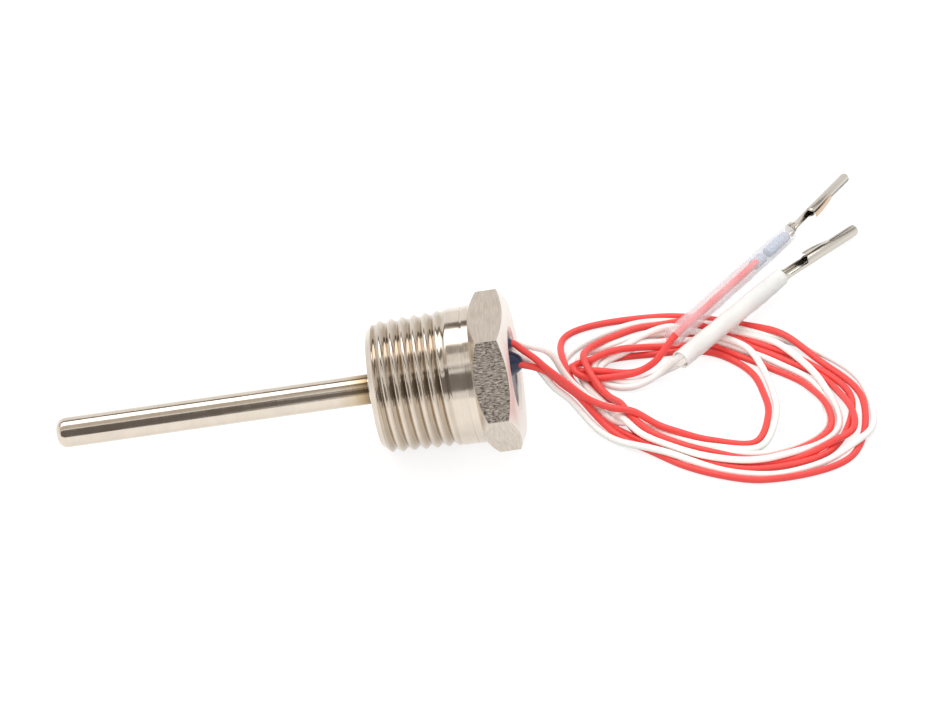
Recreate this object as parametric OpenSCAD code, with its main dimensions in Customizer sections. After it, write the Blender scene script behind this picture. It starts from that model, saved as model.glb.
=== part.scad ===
// Resistance temperature probe: a closed stainless sheath welded into a hexagon fitting with a
// tapered pipe thread, potted at the back, with four soft leads that end in two crimp contacts.
// The probe is modelled along its own axis and then laid down as it rests on a table.

/* [Sheath] */
// Outside diameter of the sheath
sheath_d = 4.76; // [3:0.01:8]
// Wall of the sheath
sheath_wall = 0.5; // [0.3:0.05:0.8]
// Length of the sheath from the fitting's front face to its tip
immersion = 50.8; // [40:0.1:90]
// Depth turned off the sheath where it seats in the fitting
seat_step = 0.2; // [0.18:0.01:0.3]
// Leg of the weld fillet round the sheath
weld_leg = 0.9; // [0.4:0.1:1.5]

/* [Fitting] */
// Thread's largest diameter at the front face
thread_d = 20.7; // [18:0.1:22]
// Length of the thread
thread_len = 12.9; // [10:0.1:18]
// Length of the chamfer that starts the thread
thread_lead_in = 1.4; // [0.6:0.1:2]
// Radial depth of that chamfer
lead_in_depth = 1.2; // [0.5:0.1:2]
// Diameter of the plain neck behind the thread
neck_d = 21.6; // [19:0.1:23]
// Length of the neck
neck_len = 2.2; // [1:0.1:5]
// Length of the shoulder between the neck and the hexagon
shoulder_len = 1.3; // [0.5:0.1:3]
// Hexagon's width across its flats
hex_af = 22.2; // [21:0.1:27]
// Length of the hexagon
hex_len = 5.7; // [4:0.1:12]
// Angle of the front chamfer from the face
front_chamfer = 36; // [20:1:45]
// Angle of the rear chamfer from the face
rear_chamfer = 28; // [20:1:45]
// Step from the flats in to the hexagon's round faces
face_step = 0.2; // [0.1:0.05:0.6]

/* [Rear cavity] */
// Diameter of the cavity behind the sheath
cavity_d = 12.4; // [11:0.1:15]
// Depth of the cavity from the rear face
cavity_depth = 12.6; // [11:0.1:15]
// Depth of the potting below the rear face
potting_recess = 0.3; // [0:0.05:1]
// Height of the potting's crown above its surface
crown_h = 1.5; // [0.5:0.1:2]
// Diameter of the crown's foot
crown_d = 5.6; // [4:0.1:8]
// Chamfer round the cavity's mouth
mouth_chamfer = 0.4; // [0.1:0.05:0.8]

/* [Inside the sheath] */
// Diameter of the ceramic sensing element
element_d = 2; // [1.2:0.1:2.6]
// Length of the sensing element
element_len = 12; // [5:0.5:20]
// Powder between the element and the sheath's tip
tip_fill = 1.2; // [0.5:0.1:3]
// Diameter of the element's own wires
element_wire_d = 0.3; // [0.2:0.05:0.4]
// Length of the element's own wires
element_wire_len = 1.6; // [1:0.1:3]
// Diameter of the extension wires
wire_d = 0.4; // [0.3:0.05:0.5]
// Length of the weld beads that join two extension wires to each element wire
bead_len = 0.6; // [0.3:0.1:1]
// Running clearance between the insulator and the sheath
insulator_gap = 0.1; // [0.05:0.01:0.3]
// Length by which the sheath stands into the cavity
sheath_stand = 1.5; // [0.5:0.1:3]

/* [Splices] */
// Distance of each wire from the middle, along each cross axis
wire_pitch = 0.66; // [0.64:0.01:0.7]
// Outside diameter of the splice barrels
barrel_d = 0.9; // [0.8:0.05:0.95]
// Length of the splice barrels
barrel_len = 4; // [2:0.1:4.5]
// Wall of the insulating sleeve on each barrel
splice_wall = 0.14; // [0.1:0.01:0.15]

/* [Leads] */
// Outside diameter of each lead
lead_d = 1.1; // [0.8:0.05:1.2]
// Diameter of each lead's stranded core
core_d = 0.56; // [0.3:0.02:0.6]
// Height of the loose coil of leads
coil_h = 2.2; // [2:0.1:5]

/* [Lead ends] */
// Length of the clear sleeve on the upper contact
upper_sleeve_len = 33; // [28:0.5:36]
// Length of the clear sleeve on the lower contact
lower_sleeve_len = 26.5; // [22:0.5:30]
// Bore of the clear sleeves
sleeve_bore = 2.26; // [2.24:0.01:3]
// Wall of the clear sleeves
sleeve_wall = 0.17; // [0.1:0.01:0.4]

/* [Contacts] */
// Length of a contact in front of its sleeve
contact_len = 17; // [14:0.1:20]
// Outside diameter of the round contact barrel
contact_d = 1.65; // [1.4:0.05:2]
// Thickness of the contact's sheet metal
sheet = 0.2; // [0.15:0.01:0.25]
// Width of the seam along the barrel
seam_w = 0.14; // [0.05:0.01:0.3]
// Length of the open channel between the crimps and the barrel
channel_len = 5.6; // [3:0.1:6]
// Outside diameter of the flared collar at the sleeve
collar_d = 2.3; // [1.8:0.05:2.6]
// Length of the flared collar
collar_len = 1; // [0.5:0.1:2]
// Length of the sprung locking tang
tang_len = 5; // [3:0.1:6]
// Width of the locking tang
tang_w = 0.9; // [0.5:0.05:1.1]
// Angle at which the tang stands off the barrel
tang_angle = 10; // [4:1:20]
// Length of the conductor crimp
crimp_len = 2.6; // [1.5:0.1:4]
// Length of the saddle under the leads
wing_len = 1.4; // [1:0.1:3]

/* [Hidden] */
$fn = 96;
steel = [0.72, 0.70, 0.66];
bronze_steel = [0.62, 0.52, 0.40];
nickel = [0.78, 0.74, 0.64];
copper = [0.80, 0.52, 0.34];
ceramic = [0.93, 0.92, 0.88];
powder = [0.86, 0.85, 0.82];
navy = [0.12, 0.16, 0.28];
red = [0.88, 0.20, 0.18];
white = [0.95, 0.94, 0.91];
clear_white = [0.95, 0.96, 0.97, 0.4];
thread_taper = 1 / 32; // growth of the thread's radius for each millimetre of length
fit_gap = 0.02; // room round a wire in its bore

// Stations along the axis. The front face is at 0 and the leads leave at the positive end.
neck_x = thread_len;
shoulder_x = neck_x + neck_len;
hex_x = shoulder_x + shoulder_len;
rear_x = hex_x + hex_len;
cavity_x = rear_x - cavity_depth;
sheath_end = cavity_x + sheath_stand;
surface_x = rear_x - potting_recess;
flat_r = hex_af / 2;
corner_r = flat_r / cos(30);
face_r = flat_r - face_step;
sheath_r = sheath_d / 2;
bore_r = sheath_r - sheath_wall;
seat_r = sheath_r - seat_step;
seat_x = -weld_leg - 0.2; // the sheath's full diameter ends just in front of the weld
element_x = -immersion + sheath_wall + tip_fill;
element_end = element_x + element_len;
bead_x = element_end + element_wire_len;
wire_x = bead_x + bead_len;
insulator_x = wire_x + 0.4;
insulator_end = sheath_end + 0.5;
splice_x = insulator_end + 0.8;
barrel_x = splice_x + 0.4;
splice_len = barrel_len + 0.8;
splice_end = splice_x + splice_len;
lead_x = splice_end + 0.3;
splice_d = barrel_d + 2 * splice_wall;

// Resting pose: the hexagon's lower flat and the thread's first full crest touch the table.
rest_hex_x = hex_x + face_step * tan(front_chamfer);
rest_crest_r = thread_d / 2 + thread_lead_in * thread_taper;
tilt = atan((flat_r - rest_crest_r) / (rest_hex_x - thread_lead_in));
tip_back_x = (-immersion + sheath_r) * cos(tilt) - sheath_r;
crown_front_x = (surface_x + crown_h) * cos(tilt);
rim_front_x = rear_x * cos(tilt) + face_r * sin(tilt);
shift_x = -(tip_back_x + max(crown_front_x, rim_front_x)) / 2;
shift_z = flat_r * cos(tilt) - rest_hex_x * sin(tilt);
function on_table(p) = [
    p.x * cos(tilt) - p.z * sin(tilt) + shift_x,
    p.y,
    p.x * sin(tilt) + p.z * cos(tilt) + shift_z
];

// Four wires stand in a square round the axis. Each lead's place in it, as signs of y and z:
// red 1, red 2, white 1, white 2.
PLACES = [[-1, 1], [1, -1], [-1, -1], [1, 1]];
function place(i) = [PLACES[i].x * wire_pitch, PLACES[i].y * wire_pitch];

// Where each lead leaves the potting, on the probe's axes: beyond its surface, y and z.
LEAVING = [
    [[0.3, 0.8, 4], [2.1, 0.5, 2.8]],
    [[1.5, 0.3, 0.3], [4, -0.4, -1.3]],
    [[0.3, -0.5, 1.6], [2.1, -1, 0.9]],
    [[0.3, 2.5, 3], [2.2, 2.6, 2.2]]
];
// Each lead's route from there to the coil, on the table's axes.
EXITS = [
    [[39.2, -0.2, 12.3], [42, -0.8, 9.5], [44.7, -1.5, 7.2], [47.2, -2.2, 5.6],
        [49.8, -3, 4.3], [53, -4.2, 3.2], [56, -5.4, 2.8]],
    [[42.2, -1.2, 7.6], [45, -2.4, 5.2], [48, -3.9, 3.8], [51, -5.7, 3], [53.8, -7.4, 2.8]],
    [[39.8, -1.8, 10.6], [42.2, -2.8, 8.2], [45, -4, 5.4], [48, -5.6, 3.6], [51, -7.6, 2.8]],
    [[40, 2.2, 11.6], [42.6, 1.4, 9.2], [45.4, 0.6, 6.8], [48.4, -0.6, 4.6],
        [51.4, -2, 3.3], [54.2, -3.2, 2.8]]
];
// Each lead's route from the coil to the mouth of its sleeve.
TAILS = [
    [[44.4, 8.2, 2.8], [46.8, 6.6, 3.8], [50, 6, 4.1], [53.4, 6.4, 4.4], [56.8, 7.8, 5.1]],
    [[47.4, 12.6, 2.8], [50.6, 13.4, 2.9], [53.8, 13, 3.6], [57.2, 9.8, 4.7]],
    [[47.6, 5.4, 2.8], [51, 4.4, 2.8], [54.6, 3.6, 3.2], [58.2, 3.4, 4.1]],
    [[47.2, 7.4, 2.8], [50.6, 6.4, 2.8], [53.8, 5.3, 3.3], [57, 4.7, 4.5]]
];

// The loose coil: its middle and its reach outwards and inwards, every 30 degrees.
COIL_MIDDLE = [65, 1];
COIL_OUTER = [23, 18, 17, 19, 25, 28, 20, 16, 15, 19, 27, 28];
COIL_INNER = [8, 8, 8, 9, 12, 14, 12, 10, 9, 9, 12, 10];

// Each contact: the middle of its sleeve's front end, the sleeve's heading and fall, how far
// the contact turns from that heading, its fall, and its roll about its own axis.
CONTACT_AT = [[78.9, 37.2, 2.9], [77.3, 26.2, 2.9]];
SLEEVE_LEN = [upper_sleeve_len, lower_sleeve_len];
SLEEVE_HEADING = [54.3, 51.5];
SLEEVE_FALL = 5;
CONTACT_HEADING = [62.5, 46.5];
CONTACT_FALL = 5.5;
CONTACT_ROLL = [195, 35];
// Which contact each lead goes to, and the side and roll of the pair in the sleeve.
LEAD_CONTACT = [0, 0, 1, 1];
LEAD_SIDE = [1, -1, -1, 1];
PAIR_ROLL = [126, 20];

// Lays the probe on the table.
module lie_down() {
    translate([shift_x, 0, shift_z]) rotate([0, -tilt, 0]) children();
}

// Turns a profile of [along, radius] points about the probe's axis.
module turned(points) {
    rotate([0, 90, 0]) rotate_extrude() polygon([for (p = points) [p.y, p.x]]);
}

// A straight rod along the axis, from one station to another.
module rod(from, to, d, at = [0, 0]) {
    translate([from, at.x, at.y]) rotate([0, 90, 0]) cylinder(d = d, h = to - from);
}

module at_each_wire() {
    for (i = [0 : 3]) translate([0, place(i).x, place(i).y]) children();
}

// The points of a quarter circle, from the axis out to its full radius.
function dome(x, r, n = 16) = [for (i = [0 : n]) [x - r * cos(90 * i / n), r * sin(90 * i / n)]];
function reversed(list) = [for (i = [len(list) - 1 : -1 : 0]) list[i]];

module sheath_tube() {
    outer = dome(-immersion + sheath_r, sheath_r);
    inner = dome(-immersion + sheath_wall + bore_r, bore_r);
    color(steel) lie_down() turned(concat(
        outer, [[seat_x, sheath_r], [seat_x, seat_r], [sheath_end, seat_r], [sheath_end, bore_r]],
        reversed(inner)
    ));
}

// A cone frustum block that limits the hexagon to its two chamfers.
module chamfer_limit() {
    front_rise = (corner_r - face_r) * tan(front_chamfer);
    rear_rise = (corner_r - face_r) * tan(rear_chamfer);
    turned([
        [hex_x, 0], [hex_x, face_r], [hex_x + front_rise, corner_r],
        [rear_x - rear_rise, corner_r], [rear_x, face_r], [rear_x, 0]
    ]);
}

module hexagon() {
    intersection() {
        translate([hex_x, 0, 0]) rotate([0, 90, 0]) rotate([0, 0, 30])
            cylinder(r = corner_r, h = hex_len, $fn = 6);
        chamfer_limit();
    }
}

module threaded_fitting() {
    start_r = thread_d / 2 + thread_lead_in * thread_taper;
    end_r = thread_d / 2 + thread_len * thread_taper;
    color(steel) lie_down() difference() {
        union() {
            turned([
                [0, 0], [0, start_r - lead_in_depth], [thread_lead_in, start_r],
                [neck_x, end_r], [neck_x, neck_d / 2], [shoulder_x, neck_d / 2],
                [hex_x, face_r], [hex_x, 0]
            ]);
            hexagon();
        }
        rod(-1, rear_x, 2 * seat_r);
        rod(cavity_x, rear_x + 1, cavity_d);
        turned([
            [rear_x - mouth_chamfer, 0], [rear_x - mouth_chamfer, cavity_d / 2],
            [rear_x + 1, cavity_d / 2 + mouth_chamfer + 1], [rear_x + 1, 0]
        ]);
    }
}

// A concave fillet from the sheath out to the front face.
module sheath_weld() {
    color(bronze_steel) lie_down() turned(concat(
        [[0, seat_r], [-weld_leg, seat_r], [-weld_leg, sheath_r]],
        [for (a = [15 : 15 : 75]) [
            -weld_leg * (1 - sin(a)), sheath_r + weld_leg * (1 - cos(a))
        ]],
        [[0, sheath_r + weld_leg]]
    ));
}

module sensing_element() {
    color(ceramic) lie_down() rod(element_x, element_end, element_d);
}

module element_wires() {
    color(nickel) lie_down() for (side = [-1, 1])
        rod(element_end, bead_x, element_wire_d, [side * wire_pitch, 0]);
}

// Each bead joins one element wire to the two extension wires on its side.
module junction_beads() {
    color(nickel) lie_down() for (side = [-1, 1])
        translate([bead_x, side * wire_pitch - wire_d / 2, -wire_pitch - wire_d / 2])
            cube([bead_len, wire_d, 2 * wire_pitch + wire_d]);
}

module powder_fill() {
    color(powder) lie_down() turned(concat(
        dome(-immersion + sheath_wall + bore_r, bore_r),
        [[element_end, bore_r], [element_end, element_d / 2], [element_x, element_d / 2],
            [element_x, 0]]
    ));
}

module bore_insulator() {
    color(ceramic) lie_down() difference() {
        rod(insulator_x, insulator_end, 2 * (bore_r - insulator_gap));
        at_each_wire() rod(insulator_x - 1, insulator_end + 1, wire_d + 2 * fit_gap);
    }
}

module extension_wires() {
    color(nickel) lie_down() at_each_wire() rod(wire_x, barrel_x + barrel_len / 2, wire_d);
}

module splice_barrels() {
    color(copper) lie_down() at_each_wire() difference() {
        rod(barrel_x, barrel_x + barrel_len, barrel_d);
        rod(barrel_x - 1, barrel_x + barrel_len / 2, wire_d);
        rod(barrel_x + barrel_len / 2, barrel_x + barrel_len + 1, core_d);
    }
}

module splice_sleeves() {
    color(clear_white) lie_down() at_each_wire() difference() {
        rod(splice_x, splice_end, splice_d);
        rod(splice_x - 1, splice_end + 1, barrel_d);
    }
}

// The stranded cores, bared where they enter the barrels.
module lead_cores() {
    color(copper) lie_down() at_each_wire() rod(barrel_x + barrel_len / 2, lead_x, core_d);
}

// The potting fills the cavity round all that stands in it and rises to a crown in the middle.
module potting_body() {
    difference() {
        turned([
            [cavity_x, seat_r], [cavity_x, cavity_d / 2], [surface_x, cavity_d / 2],
            [surface_x, crown_d / 2], [surface_x + crown_h * 0.45, crown_d * 0.3],
            [surface_x + crown_h, crown_d * 0.2], [surface_x + crown_h, 0],
            [sheath_end, 0], [sheath_end, seat_r]
        ]);
        rod(sheath_end - 1, insulator_end, 2 * (bore_r - insulator_gap));
        at_each_wire() {
            rod(insulator_end - 1, splice_x, wire_d);
            rod(splice_x, splice_end, splice_d);
            rod(splice_end - 1, lead_x, core_d);
        }
    }
}

module potting_plug() {
    color(navy) difference() {
        lie_down() potting_body();
        for (i = [0 : 3]) {
            channel(lead_start(i), lead_bend(i));
            channel(lead_bend(i), leaving(i, 0));
            channel(leaving(i, 0), leaving(i, 1));
        }
    }
}

// Each lead starts at its core and runs straight for a little before it turns to its exit.
function lead_start(i) = on_table([lead_x, place(i).x, place(i).y]);
function lead_bend(i) = on_table([lead_x + 0.6, place(i).x, place(i).y]);
function leaving(i, k) = on_table(LEAVING[i][k] + [surface_x, 0, 0]);

// A round passage for a lead between two points, with room to bend at each of them.
module channel(a, b) {
    d = lead_d + 4 * fit_gap;
    v = b - a;
    translate(a) {
        rotate([0, acos(v.z / norm(v)), atan2(v.y, v.x)]) cylinder(d = d, h = norm(v));
        sphere(d = d + 4 * fit_gap);
    }
}

// A tube swept along points: each ring stands square to the way its neighbours lead.
function unit(v) = v / norm(v);
function heading(p, i) = unit(p[min(i + 1, len(p) - 1)] - p[max(i - 1, 0)]);
function ring(p, i, r, sides) =
    let (t = heading(p, i), u = unit(cross(t, [0, 0, 1])), w = cross(u, t))
    [for (k = [0 : sides - 1])
        p[i] + r * (cos(360 * k / sides) * u + sin(360 * k / sides) * w)];

module tube(points, d, sides = 8) {
    n = len(points);
    rings = [for (i = [0 : n - 1]) each ring(points, i, d / 2, sides)];
    walls = [for (i = [0 : n - 2]) for (k = [0 : sides - 1])
        let (a = i * sides + k, b = i * sides + (k + 1) % sides)
        [a, a + sides, b + sides, b]];
    ends = [[for (k = [0 : sides - 1]) k],
        [for (k = [sides - 1 : -1 : 0]) (n - 1) * sides + k]];
    polyhedron(rings, concat(walls, ends), convexity = 6);
}

module lead_exit(i, tint) {
    color(tint) tube(concat(
        [lead_start(i), lead_bend(i), leaving(i, 0), leaving(i, 1)], EXITS[i]
    ), lead_d);
}

// Frames along a sleeve and along its contact. +X runs to the contact's tip.
module along_sleeve(k) {
    translate(CONTACT_AT[k]) rotate([0, SLEEVE_FALL, SLEEVE_HEADING[k]]) children();
}

module along_contact(k) {
    translate(CONTACT_AT[k]) rotate([0, CONTACT_FALL, CONTACT_HEADING[k]]) children();
}

// A point of the sleeve's frame, on the table's axes.
function in_sleeve(k, p) =
    let (h = SLEEVE_HEADING[k], f = SLEEVE_FALL, x = p.x * cos(f) + p.z * sin(f))
    CONTACT_AT[k] + [
        x * cos(h) - p.y * sin(h),
        x * sin(h) + p.y * cos(h),
        p.z * cos(f) - p.x * sin(f)
    ];

// How far two leads of one sleeve stand from its middle, and where their insulation ends.
pair_r = lead_d / 2 + fit_gap / 2;
crimp_x = -1.2 - crimp_len;
strip_x = crimp_x - 1.4;
wing_x = strip_x - 0.2 - wing_len;
// The tang's window starts just in front of the channel, and the tang stands on this side.
window_x = channel_len + 0.5;
tang_side = -100;
function pair_point(i, x) =
    let (a = PAIR_ROLL[LEAD_CONTACT[i]], s = LEAD_SIDE[i] * pair_r)
    [x, s * cos(a), s * sin(a)];

module lead_tail(i, tint) {
    k = LEAD_CONTACT[i];
    color(tint) tube(concat(TAILS[i], [
        in_sleeve(k, pair_point(i, -SLEEVE_LEN[k])), in_sleeve(k, pair_point(i, strip_x))
    ]), lead_d);
}

// The reach of the coil at any angle, through the values that are given every 30 degrees.
function reach(list, a) =
    let (
        n = len(list), s = a / 30, i = floor(s), t = s - i,
        p0 = list[(i + n - 1) % n], p1 = list[i % n], p2 = list[(i + 1) % n],
        p3 = list[(i + 2) % n]
    )
    p1 + t * (p2 - p0 + t * (2 * p0 - 5 * p1 + 4 * p2 - p3 + t * (3 * p1 - p0 - 3 * p2 + p3))) / 2;

module coil_outline(list) {
    polygon([for (a = [0 : 7.5 : 352.5]) reach(list, a) * [cos(a), sin(a)]]);
}

module lead_coil() {
    color(red) translate(COIL_MIDDLE) linear_extrude(coil_h) difference() {
        coil_outline(COIL_OUTER);
        coil_outline(COIL_INNER);
    }
}

module clear_sleeve(k) {
    color(clear_white) along_sleeve(k) difference() {
        rod(-SLEEVE_LEN[k], 0, sleeve_bore + 2 * sleeve_wall);
        rod(-SLEEVE_LEN[k] - 1, 1, sleeve_bore);
    }
}

// A wedge along +X, of the given half angle about +Z, that cuts arcs out of a tube.
module wedge(from, to, half_angle, r) {
    reach_y = r * tan(half_angle);
    translate([from, 0, 0]) rotate([90, 0, 90]) linear_extrude(to - from)
        polygon([[0, 0], [reach_y, r], [-reach_y, r]]);
}

// The stamped shell in one revolve: a flared collar that stops against the sleeve, a neck, and
// the round socket barrel with its rolled front edge. It is open along the top as far as the
// barrel, where only the seam stays open, and has a window behind the tang.
module contact_shell() {
    edge = sheet * 0.6;
    collar_r = collar_d / 2;
    neck_r = contact_d / 2;
    difference() {
        turned([
            [0.1, collar_r - sheet], [0.1, collar_r - 0.08], [0.25, collar_r],
            [collar_len * 0.5, collar_r], [collar_len, neck_r],
            [contact_len - edge, neck_r], [contact_len, neck_r - edge],
            [contact_len, neck_r - sheet], [collar_len, neck_r - sheet],
            [collar_len * 0.5, collar_r - sheet]
        ]);
        wedge(-1, collar_len, 40, collar_d);
        wedge(collar_len, channel_len, 62, contact_d);
        translate([channel_len - 0.5, -seam_w / 2, 0])
            cube([contact_len - channel_len + 1, seam_w, contact_d]);
        rotate([tang_side, 0, 0]) translate([window_x, -tang_w / 2 - 0.08, 0])
            cube([tang_len, tang_w + 0.16, contact_d]);
    }
}

// The sprung tang: its root joins the barrel in front, and its free end stands off behind.
module locking_tang() {
    rotate([tang_side, 0, 0])
        translate([window_x + tang_len + 0.15, -tang_w / 2, contact_d / 2 - sheet * 0.85])
            rotate([0, tang_angle, 0]) translate([-tang_len - 0.15, 0, 0])
                cube([tang_len + 0.3, tang_w, sheet]);
}

// The floor that carries the crimps inside the sleeve, the saddle under the pair of leads, and
// the closed crimp on their cores. pair turns with the two leads.
module contact_crimps(pair) {
    rail_r = sleeve_bore / 2 - fit_gap;
    rotate([pair, 0, 0]) {
        rotate([180, 0, 0]) intersection() {
            difference() {
                rod(wing_x, 0.2, 2 * rail_r);
                rod(wing_x - 1, 1, 2 * (rail_r - sheet));
            }
            union() {
                wedge(wing_x - 1, wing_x + wing_len, 32, 2 * rail_r);
                wedge(wing_x, 1, 14, 2 * rail_r);
            }
        }
        translate([crimp_x, 0, 0]) rotate([90, 0, 90]) linear_extrude(crimp_len) difference() {
            union() {
                for (side = [-1, 1]) translate([side * core_d / 2, 0])
                    circle(d = core_d + 2 * sheet);
                square([core_d, core_d + 2 * sheet], center = true);
                translate([-0.2, -rail_r + sheet / 2]) square([0.4, rail_r - core_d / 2 - sheet]);
            }
            for (side = [-1, 1]) translate([side * core_d / 2, 0]) circle(d = core_d);
            square([core_d, core_d * 0.6], center = true);
        }
    }
}

module crimp_contact(k) {
    color(nickel) {
        along_contact(k) rotate([CONTACT_ROLL[k], 0, 0]) {
            contact_shell();
            locking_tang();
        }
        along_sleeve(k) contact_crimps(PAIR_ROLL[k]);
    }
}

// The two bare cores that run from the leads into the conductor crimp.
module crimped_cores(k) {
    color(copper) along_sleeve(k) rotate([PAIR_ROLL[k], 0, 0]) for (side = [-1, 1])
        rod(strip_x, crimp_x + crimp_len + 0.2, core_d, [side * core_d / 2, 0]);
}

sheath_tube();
threaded_fitting();
sheath_weld();
sensing_element();
element_wires();
powder_fill();
junction_beads();
bore_insulator();
extension_wires();
splice_barrels();
splice_sleeves();
lead_cores();
potting_plug();
lead_exit(0, red);  // red_lead_exit_1
lead_exit(1, red);  // red_lead_exit_2
lead_exit(2, white);  // white_lead_exit_1
lead_exit(3, white);  // white_lead_exit_2
lead_coil();
lead_tail(0, red);  // red_lead_tail_1
lead_tail(1, red);  // red_lead_tail_2
lead_tail(2, white);  // white_lead_tail_1
lead_tail(3, white);  // white_lead_tail_2
clear_sleeve(0);  // upper_sleeve
clear_sleeve(1);  // lower_sleeve
crimp_contact(0);  // upper_contact
crimp_contact(1);  // lower_contact
crimped_cores(0);  // upper_crimped_cores
crimped_cores(1);  // lower_crimped_cores
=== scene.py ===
# Resistance temperature probe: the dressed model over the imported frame.
# Everything is in metres in the row frame; sizes in millimetres are multiplied by MM.
import math

import bpy
import numpy as np
from bpy.props import FloatProperty, FloatVectorProperty, IntProperty, PointerProperty
from mathutils import Matrix, Vector


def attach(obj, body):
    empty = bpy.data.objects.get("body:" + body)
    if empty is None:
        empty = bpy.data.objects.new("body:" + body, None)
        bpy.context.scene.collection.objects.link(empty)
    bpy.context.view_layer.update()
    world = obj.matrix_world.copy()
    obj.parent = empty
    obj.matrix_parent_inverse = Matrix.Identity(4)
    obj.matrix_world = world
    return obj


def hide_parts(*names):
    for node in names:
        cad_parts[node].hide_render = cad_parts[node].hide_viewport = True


bl_info = {
    "name": "Resistance Temperature Probe",
    "version": (1, 0, 0),
    "blender": (4, 5, 0),
    "location": "3D View > Sidebar > Probe",
    "description": "Dresses the frame of a threaded temperature probe with its looks",
    "category": "Object",
}

MM = 0.001
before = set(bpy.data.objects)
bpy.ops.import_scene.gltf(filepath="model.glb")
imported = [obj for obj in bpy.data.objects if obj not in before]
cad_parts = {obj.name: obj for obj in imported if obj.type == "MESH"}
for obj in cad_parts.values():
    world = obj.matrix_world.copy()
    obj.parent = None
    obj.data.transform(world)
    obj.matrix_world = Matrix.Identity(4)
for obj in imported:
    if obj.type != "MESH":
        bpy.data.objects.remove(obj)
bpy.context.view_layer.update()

# The probe's own axis: it starts at the fitting's front face and leans up by TILT.
TILT = math.radians(2.6699)
FACE = np.array([13.7364, 0.0, 10.3173])


def on_table(s, y=0.0, z=0.0):
    """A point s along the probe's axis, y and z across it, turned by TILT and moved to FACE."""
    c, n = math.cos(TILT), math.sin(TILT)
    s, y, z = np.broadcast_arrays(s, y, z)
    return np.stack([s * c - z * n, y, s * n + z * c], -1) + FACE


def around_probe(s, radius, a):
    """Points s along the probe's axis and at that radius from it, at the angles a round it."""
    return on_table(s, radius * np.cos(a), radius * np.sin(a))


# ---- meshes


def even_angles(count):
    """That many angles that share out one full turn."""
    return np.linspace(0, 2 * np.pi, count, endpoint=False)


def distances(points):
    """How far each point lies along the line through them all."""
    return np.concatenate([[0], np.cumsum(np.linalg.norm(np.diff(points, axis=0), axis=1))])


def put_mesh(name, points, faces, material, uv=None, slot=None, sharp=None):
    """An object at the origin from whole arrays: points in millimetres, faces of four corners,
    uv one pair for each corner of each face."""
    mesh = bpy.data.meshes.new(name)
    points = np.asarray(points).reshape(-1, 3)
    mesh.vertices.add(len(points))
    mesh.vertices.foreach_set("co", (points * MM).astype(np.float32).ravel())
    faces = np.asarray(faces)
    mesh.loops.add(faces.size)
    mesh.loops.foreach_set("vertex_index", faces.ravel().astype(np.int32))
    mesh.polygons.add(len(faces))
    mesh.polygons.foreach_set("loop_start", np.arange(0, faces.size, faces.shape[1], dtype=np.int32))
    mesh.polygons.foreach_set("use_smooth", np.ones(len(faces), bool))
    if uv is not None:
        layer = mesh.uv_layers.new(name="UVMap")
        layer.data.foreach_set("uv", np.asarray(uv, dtype=np.float32).ravel())
    mesh.update()
    mesh.validate()
    if sharp is not None:
        mesh.set_sharp_from_angle(angle=math.radians(sharp))
    mesh.materials.append(material)
    piece = bpy.data.objects.new(name, mesh)
    bpy.context.scene.collection.objects.link(piece)
    return piece


def put_values(piece, name, values):
    """One number for each point of the piece, under that name."""
    layer = piece.data.attributes.new(name, "FLOAT", "POINT")
    layer.data.foreach_set("value", values.astype(np.float32).ravel())


def put_slots(piece, material_ids, *materials):
    """Gives the piece more materials, and each face the number of its own."""
    for material in materials:
        piece.data.materials.append(material)
    piece.data.polygons.foreach_set("material_index", np.asarray(material_ids, dtype=np.int32))


def grid_corners(rows, columns, wrap_rows):
    """Each quad's first row and column, and the next ones. Every row closes on itself, and with
    wrap_rows the last row joins the first."""
    i = np.arange(rows if wrap_rows else rows - 1)
    i, j = [a.ravel() for a in np.meshgrid(i, np.arange(columns), indexing="ij")]
    return i, j, (i + 1) % rows, (j + 1) % columns


def grid_faces(rows, columns, wrap_rows=False):
    """Quads between the points of a grid, row by row."""
    i, j, i2, j2 = grid_corners(rows, columns, wrap_rows)
    return np.stack([i * columns + j, i * columns + j2, i2 * columns + j2, i2 * columns + j], -1)


def grid_uv(rows, columns, du, v, wrap_rows):
    """The (u, v) of each quad's corners: u grows by du with each column, and v is the row's own."""
    i, j, i2, _ = grid_corners(rows, columns, wrap_rows)
    left, right, low, high = du * j, du * (j + 1), v[i], v[i2]
    corners = ((left, low), (right, low), (right, high), (left, high))
    return np.stack([np.stack(corner, -1) for corner in corners], 1)


def put_grid(name, points, material, girth=None, v=None, wrap_rows=False, **more):
    """A piece from rows of points round it. With a girth it gets a UV, whose u grows by the girth
    round each row and whose v is the row's own."""
    rows, columns = points.shape[:2]
    uv = None if girth is None else grid_uv(rows, columns, girth / columns, v, wrap_rows)
    return put_mesh(name, points, grid_faces(rows, columns, wrap_rows), material, uv=uv, **more)


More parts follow.
